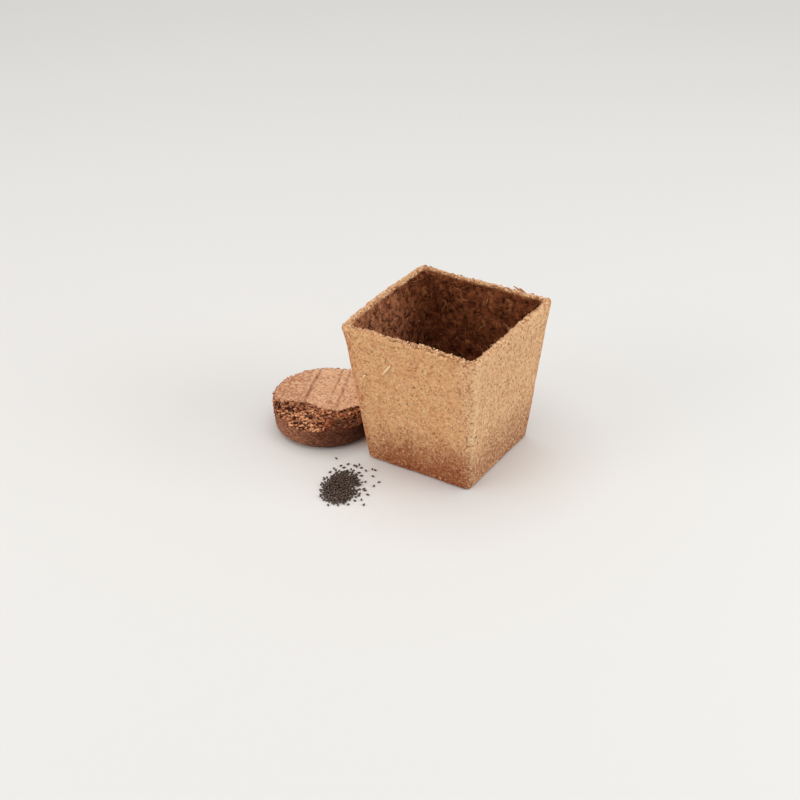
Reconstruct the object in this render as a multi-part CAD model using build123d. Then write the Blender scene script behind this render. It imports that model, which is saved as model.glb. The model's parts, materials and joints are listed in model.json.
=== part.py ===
from build123d import *

import math
import os
import random

# A growing set: a square peat pot, the pressed soil disc that goes into it and a pinch of seeds.
# The origin is the middle of the pot's base, +Z is up, and the pot's walls face along X and Y.
# The disc and the seeds lie beside the pot, on the surface that it stands on.
# Lengths are in millimetres, angles in degrees about +Z from +X.

# Pot: one thin-walled moulding of pressed peat and fibre, wider at the rim than at the base
RIM_WIDTH = 80.8
BASE_WIDTH = 63.8
POT_HEIGHT = 82.7
WALL = 3.6
FLOOR = 4.5
OUTER_CORNER = 3.0
INNER_CORNER = 3.0
BASE_EDGE = 1.5
FLOOR_EDGE = 2.4
RIM_EDGE = 0.8

# Soil disc: one puck of pressed peat and coir, with its front top edge crumbled away
DISC_RADIUS = 30.0
DISC_FOOT_RADIUS = 28.6
DISC_HEIGHT = 18.9
DISC_FOOT_EDGE = 3.2
DISC_TOP_EDGE = 0.6
FRONT_BREAK_REACH = 15.6
FRONT_BREAK_DIRECTION = -73.0
SIDE_BREAK_REACH = 19.0
SIDE_BREAK_DIRECTION = -31.0
BREAK_DROP = 4.3
GROOVE_WIDTH = 1.4
GROOVE_DEPTH = 0.35
GROOVE_DIRECTION = -66.0
GROOVE_PLACE_SHARES = (-0.30, 0.11, 0.26)
DISC_GAP = 6.2
DISC_FORWARD = 15.0

# Seeds: small blunt grains, poured into a low heap, with strays that rolled away from it
SEED_LENGTH = 1.25
SEED_WIDTH = 1.2
SEED_TIP_WIDTH = 0.5
SEED_SIDES = 4
SEED_CLEARANCE = 0.02
SEED_COUNT = 368
SEED_ROLLS = 16
ROLL_STEP = 0.5
LEAN_SPREAD = 25.0
HEAP_HALF_WIDTH = 9.2
HEAP_HALF_LENGTH = 15.0
HEAP_TURN = 24.0
HEAP_OUT = 24.2
HEAP_ALONG = 27.4
# How the seeds crowd to the middle of the heap: 0.5 pours them evenly, more heaps them higher
POUR_SHARE = 0.65
POUR_SEED = 5
# Each stray's place across and along the heap, from its middle, as shares of how far strays reach
STRAY_REACH = 13.0
STRAY_SHARES = (
    (-0.56, 2.10), (0.01, 1.73), (0.29, 1.67), (0.39, 1.60), (0.47, 1.75), (0.60, 1.53), (0.82, 1.35),
    (1.06, 1.50), (1.19, 1.43), (1.17, 0.98), (1.49, 0.59), (1.32, 0.30), (0.93, 0.55), (0.95, 0.04),
    (1.02, -0.07), (1.17, -0.34), (0.98, -0.72), (1.13, -1.05), (0.73, -0.82), (0.83, -0.46), (0.73, -0.29),
    (0.51, -1.11), (-0.28, -1.25), (-0.67, -0.72), (-0.74, 0.38), (-0.80, 0.61), (-0.77, 0.10), (-0.63, 1.06),
    (-0.52, 1.35), (-0.27, 1.59), (-0.42, 1.23), (-0.12, 1.46), (0.70, 0.96), (0.56, 1.16), (0.48, 1.02),
    (0.34, 1.14), (0.19, 1.38), (0.82, 0.37), (0.65, 0.64),
)

# How far every cutting shape runs past the face that it cuts
CUT_OVERRUN = 1.0


def wall_width(height):
    """Outside width of the pot at a height."""
    return BASE_WIDTH + (RIM_WIDTH - BASE_WIDTH) * height / POT_HEIGHT


def tapered_block(low, high, inset, corner):
    """Solid between two heights that follows the pot's sloping walls, with its four long edges rounded."""
    below = wall_width(low) - 2 * inset
    above = wall_width(high) - 2 * inset
    flare = (above - below) / 2
    block = Wedge(below, high - low, below, -flare, -flare, below + flare, below + flare)
    block = Pos(0, 0, (low + high) / 2) * Rot(90, 0, 0) * block
    long_edges = block.edges().filter_by(lambda edge: edge.bounding_box().size.Z > (high - low) / 2)
    return fillet(long_edges, corner)


def lowest_edges(form):
    """Edges round the lowest face of a form."""
    return form.faces().sort_by(Axis.Z)[0].edges()


def make_pot():
    """The moulded pot: walls and floor in one piece, open at the top, with every edge softened."""
    outside = tapered_block(0, POT_HEIGHT, 0, OUTER_CORNER)
    outside = fillet(lowest_edges(outside), min(BASE_EDGE, OUTER_CORNER / 2))
    cavity = tapered_block(FLOOR, POT_HEIGHT + CUT_OVERRUN, WALL, INNER_CORNER)
    cavity = fillet(lowest_edges(cavity), min(FLOOR_EDGE, INNER_CORNER * 4 / 5))
    pot = outside - cavity
    rim = pot.faces().sort_by(Axis.Z)[-1]
    return fillet(rim.edges(), min(RIM_EDGE, WALL / 3))


def break_plane(reach, direction):
    """Plane of a crumbled slope: level with the disc's top at the break, falling towards its side."""
    outwards = Vector(1, 0, 0).rotate(Axis.Z, direction)
    normal = outwards * BREAK_DROP + Vector(0, 0, DISC_RADIUS - reach)
    return Plane(origin=outwards * reach + Vector(0, 0, DISC_HEIGHT), z_dir=normal)


def press_groove(share):
    """Round-bottomed cutter for one press line across the disc's top."""
    radius = (GROOVE_WIDTH ** 2 / 4 + GROOVE_DEPTH ** 2) / (2 * GROOVE_DEPTH)
    rod = Rot(0, 90, 0) * Cylinder(radius, 2 * (DISC_RADIUS + CUT_OVERRUN))
    middle = Pos(0, share * DISC_RADIUS, DISC_HEIGHT + radius - GROOVE_DEPTH)
    return Rot(0, 0, GROOVE_DIRECTION) * middle * rod


def make_soil_disc():
    """The pressed disc, standing on the floor beside the pot's sloping wall."""
    disc = Cone(DISC_FOOT_RADIUS, DISC_RADIUS, DISC_HEIGHT, align=(Align.CENTER, Align.CENTER, Align.MIN))
    disc = chamfer(lowest_edges(disc), min(DISC_FOOT_EDGE, DISC_HEIGHT / 3))
    disc = chamfer(disc.faces().sort_by(Axis.Z)[-1].edges(), min(DISC_TOP_EDGE, DISC_HEIGHT / 6))
    front_break = break_plane(FRONT_BREAK_REACH, FRONT_BREAK_DIRECTION)
    side_break = break_plane(SIDE_BREAK_REACH, SIDE_BREAK_DIRECTION)
    disc = split(disc, bisect_by=front_break, keep=Keep.BOTTOM)
    disc = split(disc, bisect_by=side_break, keep=Keep.BOTTOM)
    for share in GROOVE_PLACE_SHARES:
        disc -= press_groove(share)
    return Pos(-(wall_width(DISC_HEIGHT) / 2 + DISC_GAP + DISC_RADIUS), -DISC_FORWARD, 0) * disc


def make_seed():
    """One grain, blunt at both ends, with its long axis along Z."""
    taper = math.degrees(math.atan2(SEED_WIDTH - SEED_TIP_WIDTH, SEED_LENGTH))
    half = extrude(RegularPolygon(SEED_WIDTH / 2, SEED_SIDES), SEED_LENGTH / 2, taper=taper)
    return half + mirror(half, Plane.XY)


def seed_reach():
    """How far a seed reaches from its middle, whichever way it lies."""
    return math.hypot(SEED_LENGTH, SEED_TIP_WIDTH) / 2


def resting_height(x, y, placed):
    """Height of a seed's middle once it comes down at x, y on the floor or on the seeds already there."""
    pitch = 2 * seed_reach() + SEED_CLEARANCE
    height = seed_reach()
    for other_x, other_y, other_height in placed:
        overlap = pitch ** 2 - (x - other_x) ** 2 - (y - other_y) ** 2
        if overlap > 0:
            height = max(height, other_height + math.sqrt(overlap))
    return height


def pour_seed(draw, placed):
    """Drops one seed on the heap and lets it roll lower a few times before it comes to rest."""
    angle = 2 * math.pi * draw.random()
    spread = draw.random() ** POUR_SHARE
    x = HEAP_HALF_WIDTH * spread * math.cos(angle)
    y = HEAP_HALF_LENGTH * spread * math.sin(angle)
    height = resting_height(x, y, placed)
    for _ in range(SEED_ROLLS):
        next_x = x + draw.gauss(0, ROLL_STEP)
        next_y = y + draw.gauss(0, ROLL_STEP)
        next_height = resting_height(next_x, next_y, placed)
        if next_height < height:
            x, y, height = next_x, next_y, next_height
    return x, y, height


def seed_places(draw):
    """Middles of all the seeds: first the heap, then the strays, on the floor or against the heap."""
    placed = []
    for _ in range(SEED_COUNT):
        placed.append(pour_seed(draw, placed))
    for across_share, along_share in STRAY_SHARES:
        x = across_share * STRAY_REACH
        y = along_share * STRAY_REACH
        placed.append((x, y, resting_height(x, y, placed)))
    return placed


def make_seeds():
    """All the seeds as separate grains: those on the floor lie flat on it, those on the heap lean."""
    draw = random.Random(POUR_SEED)
    grain = make_seed()
    heap = Pos(-HEAP_ALONG, -(RIM_WIDTH / 2 + HEAP_OUT), 0) * Rot(0, 0, HEAP_TURN)
    seeds = []
    for x, y, height in seed_places(draw):
        on_floor = height <= seed_reach()
        lean = 90 if on_floor else draw.gauss(90, LEAN_SPREAD)
        turned = Rot(0, 0, 360 * draw.random()) * Rot(lean, 0, 0) * grain
        lift = -turned.bounding_box().min.Z if on_floor else height
        seeds.append(heap * Pos(x, y, lift) * turned)
    return Compound(seeds)


def main():
    os.makedirs("parts", exist_ok=True)
    export_step(make_pot(), "parts/pot.step")
    export_step(make_soil_disc(), "parts/soil_disc.step")
    export_step(make_seeds(), "parts/seeds.step")


main()
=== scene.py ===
import bpy
import bmesh
import json
import math
import random
from mathutils import Matrix, Vector, noise

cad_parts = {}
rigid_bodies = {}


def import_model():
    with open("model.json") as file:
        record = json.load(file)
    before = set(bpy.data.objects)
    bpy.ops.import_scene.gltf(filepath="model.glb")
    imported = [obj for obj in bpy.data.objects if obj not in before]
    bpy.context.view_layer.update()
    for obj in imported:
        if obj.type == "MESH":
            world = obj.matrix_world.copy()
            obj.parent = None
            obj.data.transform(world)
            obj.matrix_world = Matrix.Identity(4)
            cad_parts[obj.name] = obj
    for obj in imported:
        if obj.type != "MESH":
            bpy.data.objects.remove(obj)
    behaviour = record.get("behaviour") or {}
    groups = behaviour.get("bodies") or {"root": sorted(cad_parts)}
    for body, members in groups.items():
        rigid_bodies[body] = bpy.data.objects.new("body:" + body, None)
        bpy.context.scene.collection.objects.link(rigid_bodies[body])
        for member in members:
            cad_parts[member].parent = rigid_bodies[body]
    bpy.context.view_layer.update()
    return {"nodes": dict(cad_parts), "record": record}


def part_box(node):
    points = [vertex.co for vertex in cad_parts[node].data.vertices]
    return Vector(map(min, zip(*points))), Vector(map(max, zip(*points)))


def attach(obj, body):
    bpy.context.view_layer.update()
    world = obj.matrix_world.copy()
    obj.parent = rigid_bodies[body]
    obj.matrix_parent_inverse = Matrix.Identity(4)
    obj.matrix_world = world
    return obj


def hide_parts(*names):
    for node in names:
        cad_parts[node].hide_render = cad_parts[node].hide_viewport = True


for spare in list(bpy.data.objects):
    bpy.data.objects.remove(spare)

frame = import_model()

# A growing set: a square pot pressed from peat fibre, a pressed soil disc and a pinch of seeds.
# Lengths are in metres, written as millimetres times MM. Angles are in degrees.
MM = 0.001

# Pot
BASE_HALF_WIDTH = 31.9 * MM
RIM_HALF_WIDTH = 40.4 * MM
POT_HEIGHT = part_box("pot")[1][2]
RIM_LEVEL = Vector((0.0, 0.0, POT_HEIGHT))
POT_CORNER = 3.0 * MM
WALL = 3.6 * MM
WALL_BOW = 0.8 * MM
# The wall beside the disc is pushed out at its rim, and is thicker there
WALL_BULGE = 1.7 * MM
RIM_SWELL = 1.1 * MM
POT_VOXEL = 0.86 * MM
RIM_BAND = 2.4 * MM
RIM_WEAR = 0.5 * MM
RIM_FLARE = 0.6 * MM
RIM_PROUD = 0.9 * MM
FELT_STRETCH = 4.0
FELT_TURNS = ((20, 0, 75), (70, 30, 0), (110, 0, 40), (160, 50, 120))

# The ways out of the pot's four walls, of which the last is the front
WAYS_OUT = (Vector((1, 0, 0)), Vector((-1, 0, 0)), Vector((0, 1, 0)), Vector((0, -1, 0)))

# Pieces pressed into the pot or stuck to it. Tables of places and ranges of sizes are in millimetres.
# How far up and along a wall a piece may lie by chance, as shares of its height and half width
HEIGHT_SHARES = (0.08, 0.98)
WIDTH_SHARE = 0.95
# Each straw that shows: its two ends and its width
STRAWS = (
    ((-16.8, -37.7, 59.8), (-11.0, -38.5, 67.4), 1.7),
    ((-29.4, -37.2, 54.2), (-27.2, -37.3, 56.6), 1.5),
)
STRAW_COUNT = 26
STRAW_LENGTHS = (1.5, 3.2)
STRAW_WIDTHS = (0.35, 0.6)
STRAW_THICKNESS = 0.25 * MM
STRAW_RISE = 0.5 * MM
# Each chip that shows: its place and its size
BARK_CHIPS = (
    ((-37.2, 38.9, 83.4), 1.3), ((-34.8, 39.6, 82.9), 0.9), ((39.8, -8.2, 80.6), 0.8),
    ((39.1, 10.3, 73.8), 0.55), ((-16.0, -36.0, 43.1), 0.5), ((-11.2, -36.1, 44.0), 0.5),
    ((14.2, 38.8, 82.6), 0.8), ((-15.5, 39.6, 82.8), 0.9), ((-8.0, 39.8, 82.8), 0.8),
    ((28.5, 39.8, 82.8), 0.9), ((31.0, 39.6, 82.6), 0.7),
)
BARK_CHIP_COUNT = 150
BARK_CHIP_SIZES = (0.25, 0.5)
# A chip is an icosphere, which has this many corners
CHIP_CORNERS = 12
# Each prong of the splinter: the points that it runs through
SPLINTERS = (
    ((25.0, 39.2, 82.2), (21.5, 40.2, 82.9), (18.5, 40.9, 83.6), (16.0, 41.3, 84.1)),
    ((25.5, 39.6, 82.3), (23.0, 40.4, 82.9), (21.0, 41.0, 83.5), (19.8, 41.3, 83.9)),
)
SPLINTER_THICKNESS = 1.3 * MM
FRINGE_COUNT = 620
FRINGE_SIZES = (0.25, 0.6)
FRINGE_PEAK = 15.0 * MM
FRINGE_SPREAD = 15.0 * MM
# Torn skin along the rim's inner edge: how high it stands on each side, and where the front's begins and ends
FLASH_HEIGHTS = {(0, -1): 1.9 * MM, (1, 0): 0.9 * MM, (-1, 0): 1.0 * MM, (0, 1): 0.9 * MM}
FLASH_TALLEST = max(FLASH_HEIGHTS.values())
FLASH_START = -8.0 * MM
FLASH_END = 36.0 * MM
FLASH_ROOT = 0.9 * MM
FLASH_THICKNESS = 0.35 * MM
FIBRE_STEPS = 7
LOWEST_FIBRE = 6.0 * MM
OUTER_FIBRE_COUNT = 320
OUTER_FIBRE_LENGTHS = (2.0, 6.0)
OUTER_FIBRE_WIDTHS = (0.14, 0.26)
OUTER_FIBRE_LIFT = 0.05 * MM
INNER_FIBRE_COUNT = 420
INNER_FIBRE_LENGTHS = (3.0, 11.0)
INNER_FIBRE_WIDTHS = (0.2, 0.45)
INNER_FIBRE_LIFTS = (0.0, 0.9)
RIM_FIBRE_COUNT = 170
RIM_FIBRE_LENGTHS = (0.8, 2.0)
RIM_FIBRE_WIDTHS = (0.14, 0.3)
TUFT_PLACE = Vector((36.8, 1.1, 82.7))
TUFT_COUNT = 14
TUFT_LENGTHS = (1.2, 2.4)
TUFT_WIDTHS = (0.16, 0.3)
# Where along a short fibre its points lie. The first is under the surface.
SHORT_FIBRE_SHARES = (-0.2, 0.15, 0.45, 0.75, 1.0)

# Soil disc
DISC_RADIUS = 30.0 * MM
DISC_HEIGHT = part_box("soil_disc")[1][2]
MOUNT_PLACES = {mount["name"]: mount["pos_m"] for mount in frame["record"]["mounts"]}
DISC_PLACE = Vector(MOUNT_PLACES["disc_base"])
DISC_VOXEL = 0.38 * MM
DISC_ROUGH_VOXEL = 0.6 * MM
DISC_PROUD = 0.2 * MM
# The disc is broken on one side, which faces this way. Its broken edge runs across, its press lines forward.
VIEWER_AZIMUTH = 33.0
# The broken edge: how far across the disc's middle and how far forward of it, in millimetres
BREAK_EDGE = (
    (-30.0, 4.6), (-24.2, 6.4), (-19.9, 6.1), (-14.9, 7.4), (-9.4, 8.7), (-4.3, 12.3),
    (-0.6, 14.9), (4.3, 16.7), (8.0, 17.5), (11.6, 15.2), (18.3, 13.2), (30.0, 9.0),
)
BREAK_WANDER = 1.1 * MM
CRUST_STEP = 1.7 * MM
BREAK_SLOPE = 0.2
RECESS_DEPTH = 1.2 * MM
CRUMB_COUNT = 1200
CRUMB_PROUD = 0.3 * MM
CRUMB_FLATNESS = 0.42
SIDE_CRUMB_SHARE = 0.15
SIDE_CRUMB_SIZES = (0.3, 0.7)
SIDE_CRUMB_DROP = 6.0 * MM
# Each press line: its place across the disc's middle, its lean, its half width and its strength
GROOVES = (
    (-13.6, -0.22, 0.9, 0.35), (-10.0, -0.234, 1.6, 1.0), (3.7, -0.20, 1.0, 0.75), (8.8, -0.19, 1.1, 0.6),
)
GROOVE_DEPTH = 0.38 * MM

# Seeds: a grain that starts lower than this lies on the floor
SEED_ON_FLOOR = 0.5 * MM
# How much a grain is scaled up after its rounding, which shrinks it. It ends longer and slimmer than the
# frame's grain, so that neighbours in the heap overlap a little
SEED_SCALES = (1.66, 1.92)

# Camera, fitted to the pot's corners
LOOK_AT = Vector((-12.87, -27.80, 40.0)) * MM
LOOK_DISTANCE = 860.52 * MM
LOOK_AZIMUTH = 32.98
LOOK_ELEVATION = 31.69
LOOK_ROLL = -1.0845
LENS_PIXELS = 1632.74
IMAGE_PIXELS = 800
SENSOR_MM = 36.0

# Stage and light
FLOOR_WIDTH = 8.0
WORLD_STRENGTH = 0.6
# Each softbox: its place, width, power and colour
SOFTBOXES = (
    ("top_softbox", Vector((-0.14, 0.02, 1.20)), 1.2, 5.7, (1.0, 0.98, 0.96)),
    ("side_softbox", Vector((1.03, 0.25, 0.50)), 0.7, 5.2, (0.90, 0.97, 1.0)),
    ("front_softbox", Vector((-0.62, -0.94, 0.35)), 0.7, 3.9, (1.0, 0.98, 0.96)),
)


# Small helpers

def ease(value, start, end):
    """0 before start, 1 after end, and smooth between them. Start may be the larger of the two."""
    share = min(max((value - start) / (end - start), 0.0), 1.0)
    return share * share * (3.0 - 2.0 * share)


def lumps(place, size):
    """Smooth noise from -1 to 1, with lumps of about that size."""
    return noise.noise(place / size)


def rough(place, *waves):
    """Sum of noise in several sizes, each given by its height and its size in millimetres."""
    return sum(height * MM * lumps(place, size * MM) for height, size in waves)


def between(draw, sizes):
    """A random size between two that are given in millimetres."""
    return draw.uniform(*sizes) * MM


def turned(angles):
    """Turn by three angles about X, Y and Z, in that order."""
    about_x, about_y, about_z = (
        Matrix.Rotation(math.radians(angle), 3, axis) for angle, axis in zip(angles, "XYZ")
    )
    return about_z @ about_y @ about_x


FELT_AXES = [turned(angles) for angles in FELT_TURNS]


def felt(place, size):
    """Relief of matted fibres from -1 to 1: sharp ridges of about that width that run several ways."""
    total = 0.0
    for axes in FELT_AXES:
        along = axes @ place
        along.x /= FELT_STRETCH
        total += 1.0 - 2.0 * abs(noise.noise(along / size))
    return total / len(FELT_AXES)


def new_object(name, mesh):
    """A new object at the origin, in the scene."""
    item = bpy.data.objects.new(name, mesh)
    bpy.context.scene.collection.objects.link(item)
    return item


def mesh_from(shape, name, smooth=True):
    """Turns a bmesh into a mesh with smooth or flat faces and frees it."""
    for face in shape.faces:
        face.smooth = smooth
    mesh = bpy.data.meshes.new(name)
    shape.to_mesh(mesh)
    shape.free()
    return mesh


def faces_of(verts):
    """The faces round some vertices, each once, always in the same order."""
    return list(dict.fromkeys(face for vert in verts for face in vert.link_faces))


def merged_copy(node):
    """A bmesh copy of a frame node with its loose triangles joined."""
    shape = bmesh.new()
    shape.from_mesh(frame["nodes"][node].data)
    bmesh.ops.remove_doubles(shape, verts=shape.verts, dist=0.001 * MM)
    return shape


def applied(item):
    """The object's mesh with its modifiers applied, as a bmesh. The object itself is removed."""
    depsgraph = bpy.context.evaluated_depsgraph_get()
    mesh = bpy.data.meshes.new_from_object(item.evaluated_get(depsgraph))
    shape = bmesh.new()
    shape.from_mesh(mesh)
    bpy.data.objects.remove(item)
    bpy.data.meshes.remove(mesh)
    return shape


def remeshed(item, voxel):
    """The object's surface as an even skin of small quads, as a bmesh. The object itself is removed."""
    remesh = item.modifiers.new("even_skin", "REMESH")
    remesh.mode = "VOXEL"
    remesh.voxel_size = voxel
    remesh.adaptivity = 0
    return applied(item)


def even_skin(node, voxel):
    """A copy of a frame node with an even skin, ready to be pressed and torn."""
    return remeshed(new_object(node + "_skin", mesh_from(merged_copy(node), node + "_skin")), voxel)


def mark(mesh, name, values):
    """Stores one number a vertex, for the material to read."""
    attribute = mesh.attributes.new(name, "FLOAT", "POINT")
    attribute.data.foreach_set("value", values)


def finish_piece(piece, body, slot, material, *nodes):
    """Gives a piece its material and its body, and hides the frame nodes that it stands for. Its slot is not
    used.
    """
    for one in material if isinstance(material, tuple) else (material,):
        piece.data.materials.append(one)
    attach(piece, body)
    if nodes:
        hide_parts(*nodes)


# Materials

def srgb(red, green, blue):
    """A colour as it looks on screen, 0 to 255, as the linear colour that a shader takes."""
    linear = []
    for channel in (red, green, blue):
        share = channel / 255.0
        linear.append(share / 12.92 if share <= 0.04045 else ((share + 0.055) / 1.055) ** 2.4)
    return (*linear, 1.0)


class Value:
    """A socket of a material. Arithmetic on it adds Math nodes."""

    def __init__(self, finish, socket):
        self.finish = finish
        self.socket = socket

    def math(self, operation, first, second):
        """A Math node on two values or numbers."""
        return self.finish.node("Math", {"operation": operation}, {0: first, 1: second})

    def __add__(self, other):
        return self.math("ADD", self, other)

    def __radd__(self, other):
        return self.math("ADD", other, self)

    def __sub__(self, other):
        return self.math("SUBTRACT", self, other)

    def __rsub__(self, other):
        return self.math("SUBTRACT", other, self)

    def __mul__(self, other):
        return self.math("MULTIPLY", self, other)

    def __rmul__(self, other):
        return self.math("MULTIPLY", other, self)

    def __abs__(self):
        return self.math("ABSOLUTE", self, 0.0)

    def also(self, output):
        """Another output of the same node."""
        return Value(self.finish, self.socket.node.outputs[output])


class Finish:
    """One material and the nodes in it."""

    def __init__(self, name):
        self.material = bpy.data.materials.new(name)
        self.material.use_nodes = True
        self.tree = self.material.node_tree
        self.tree.nodes.clear()

    def node(self, kind, settings=None, sockets=None, output=0):
        """Adds a node, sets it, gives its sockets their values or links, and returns one of its outputs."""
        node = self.tree.nodes.new("ShaderNode" + kind)
        for name, setting in (settings or {}).items():
            setattr(node, name, setting)
        for name, value in (sockets or {}).items():
            if isinstance(value, Value):
                self.tree.links.new(value.socket, node.inputs[name])
            else:
                node.inputs[name].default_value = value
        return Value(self, node.outputs[output])

    def place(self):
        """The piece's own coordinates."""
        return self.node("TexCoord", output="Object")

    def coordinate(self, axis):
        """One of the piece's own coordinates: X, Y or Z."""
        return self.node("SeparateXYZ", sockets={0: self.place()}, output=axis)

    def marked(self, name):
        """A number that the piece's vertices carry."""
        return self.node("Attribute", {"attribute_name": name}, output="Fac")

    def cloud(self, size, detail=2.0, roughness=0.5, stretch=None, distortion=0.0):
        """Soft noise from 0 to 1 with lumps of about that size, stretched along an axis if asked."""
        place = self.place()
        if stretch:
            place = self.node("Mapping", sockets={"Vector": place, "Scale": stretch})
        sockets = {
            "Vector": place, "Scale": 1.0 / size, "Detail": detail,
            "Roughness": roughness, "Distortion": distortion,
        }
        return self.node("TexNoise", sockets=sockets)

    def warped_place(self, size, reach):
        """Places pushed about by noise, so that round spots come out ragged."""
        push = self.node("TexNoise", sockets={"Vector": self.place(), "Scale": 1.0 / size}, output="Color")
        push = self.node("VectorMath", {"operation": "SUBTRACT"}, {0: push, 1: (0.5, 0.5, 0.5)})
        push = self.node("VectorMath", {"operation": "SCALE"}, {0: push, "Scale": 2.0 * reach})
        return self.node("VectorMath", {"operation": "ADD"}, {0: self.place(), 1: push})

    def specks(self, spacing, radius, kept):
        """Ragged specks of that radius: each cell has one, and only a share of them is kept."""
        sockets = {"Vector": self.warped_place(2.0 * radius, radius), "Scale": 1.0 / spacing}
        distance = self.node("TexVoronoi", sockets=sockets, output="Distance")
        chance = self.node("SeparateXYZ", sockets={0: distance.also("Color")})
        share = radius / spacing
        return self.step(distance, 1.25 * share, 0.75 * share) * self.step(chance, kept + 0.01, kept - 0.01)

    def step(self, value, start, end):
        """0 before start, 1 after end, and smooth between them."""
        settings = {"interpolation_type": "SMOOTHSTEP", "clamp": True}
        return self.node("MapRange", settings, {"Value": value, "From Min": start, "From Max": end})

    def patches(self, size, start, end, detail=2.0, roughness=0.5):
        """Ragged patches of about that size: 0 where soft noise is at start, 1 where it is at end."""
        return self.step(self.cloud(size, detail, roughness), start, end)

    def hairs(self, size, width, detail=1.0, distortion=0.6):
        """Thin winding lines, like fibres pressed into the face."""
        return 1.0 - self.step(abs(self.cloud(size, detail, distortion=distortion) - 0.5), 0.0, width)

    def blend(self, share, first, second):
        """Mixes two colours."""
        settings = {"data_type": "RGBA", "clamp_factor": True}
        return self.node("Mix", settings, {0: share, 6: first, 7: second}, 2)

    def bump(self, height, distance, strength=1.0):
        """A normal that rises and falls with a height from 0 to 1, over that distance."""
        sockets = {"Height": height, "Distance": distance, "Strength": strength}
        return self.node("Bump", sockets=sockets, output="Normal")

    def close(self, sockets):
        """Ends the material in one Principled shader."""
        shader = self.node("BsdfPrincipled", sockets=sockets)
        output = self.tree.nodes.new("ShaderNodeOutputMaterial")
        self.tree.links.new(shader.socket, output.inputs["Surface"])
        return self.material


def peat_outside(finish):
    """Colour and relief of the pot's pressed outside: tan and speckled, redder and darker low down, partly as
    painted shade, and redder at two edges, with a painted highlight along the front edge and its right face
    painted paler, as lit.
    """
    red_edge = finish.marked("red_edge")
    across = finish.coordinate("X")
    # The right face: painted paler as lit, with more contrast in its grain.
    right = finish.step(across, 28 * MM, 33 * MM)
    # Darker and redder towards the bottom: partly the peat's own tone and partly painted shade near the
    # floor, with less of it on the right face, which is painted as lit.
    low = finish.coordinate("Z") + 14 * MM * finish.cloud(12 * MM) - 0.15 * across
    low = finish.step(low, 41 * MM, 9 * MM) * (1.0 - 0.3 * right)
    low = low * (1.0 - 0.3 * finish.step(across, -16 * MM, -30 * MM))

    colour = finish.blend(finish.cloud(9 * MM, 3.0), srgb(212, 153, 104), srgb(234, 183, 131))
    reddened = 0.3 * finish.patches(8 * MM, 0.5, 0.66, 3.0) + red_edge * (0.3 + 0.6 * finish.cloud(3 * MM))
    colour = finish.blend(reddened, colour, srgb(200, 126, 86))
    # Painted highlight: a pale band along the front upright edge, on the right face.
    colour = finish.blend(0.6 * finish.marked("painted_edge_highlight"), colour, srgb(236, 194, 148))
    # Partly painted shade: the wall is darker and redder low down.
    colour = finish.blend(0.9 * low, colour, srgb(146, 70, 35))
    # Painted light: the right face is painted paler, as if more light fell on it.
    colour = finish.blend(0.25 * right * (1.0 - 0.5 * low), colour, srgb(230, 192, 152))

    grainy = finish.patches(5 * MM, 0.4, 0.6, 3.0)
    grain = finish.cloud(1.3 * MM, 3.0, 0.75)
    pale_share = (0.5 + 0.5 * grainy + 0.5 * right) * (1.0 - 0.4 * low)
    colour = finish.blend(pale_share * finish.step(grain, 0.5, 0.7), colour, srgb(244, 206, 160))
    dark_share = 0.45 + 0.45 * grainy + 0.1 * low + 0.4 * right * grainy
    colour = finish.blend(dark_share * finish.step(grain, 0.48, 0.3), colour, srgb(142, 66, 28))
    colour = finish.blend(0.7 * low * finish.step(grain, 0.48, 0.34), colour, srgb(80, 36, 18))

    curls = finish.hairs(1.6 * MM, 0.10) * finish.patches(2.2 * MM, 0.5, 0.6)
    colour = finish.blend((0.45 + 0.35 * low + 0.2 * right) * curls, colour, srgb(146, 72, 30))
    fine_specks = finish.specks(1.7 * MM, 0.3 * MM, 0.36)
    colour = finish.blend((0.55 + 0.3 * low) * fine_specks, colour, srgb(128, 60, 26))
    colour = finish.blend(0.7 * finish.specks(4.5 * MM, 0.5 * MM, 0.3), colour, srgb(106, 54, 28))
    strands = finish.hairs(5 * MM, 0.04) * finish.patches(4 * MM, 0.45, 0.6)
    colour = finish.blend(strands * (0.5 - 0.35 * low), colour, srgb(244, 212, 166))

    relief = 1.2 * grain + 0.5 * finish.cloud(0.6 * MM, 2.0, 0.6)
    relief = relief - 0.4 * fine_specks - 0.25 * curls + 0.3 * strands
    return colour, relief


def torn_and_lit_rim(finish):
    """Colour of the torn rim: pale, partly from its torn fibre and partly as painted light on its upward
    face, with browner spots, most of them along its inner lip.
    """
    colour = finish.patches(1.3 * MM, 0.36, 0.66, 3.0, 0.75)
    colour = finish.blend(colour, srgb(190, 128, 84), srgb(252, 216, 172))
    colour = finish.blend(0.6 * finish.patches(2.0 * MM, 0.6, 0.68), colour, srgb(158, 90, 56))
    lip_spots = finish.marked("lip") * finish.patches(1.8 * MM, 0.46, 0.6)
    return finish.blend(0.8 * lip_spots, colour, srgb(164, 94, 64))


def peat_material():
    """Outside of the pot: pressed peat and wood fibre, pale where the rim is torn and painted paler there as
    lit, with painted shade in the front rim's crack.
    """
    finish = Finish("pressed_peat")
    outside, relief = peat_outside(finish)
    # The rim's top: pale fibre, painted paler still as lit.
    colour = finish.blend(finish.marked("rim"), outside, torn_and_lit_rim(finish))
    # Painted shade in the crack behind the front rim's torn skin.
    colour = finish.blend(0.8 * finish.marked("crack"), colour, srgb(124, 70, 40))
    return finish.close({
        "Base Color": colour, "Roughness": 0.95, "Sheen Weight": 0.1, "Sheen Roughness": 0.5,
        "Sheen Tint": srgb(255, 236, 214), "Specular IOR Level": 0.1,
        "Normal": finish.bump(relief, 0.6 * MM),
    })


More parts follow.
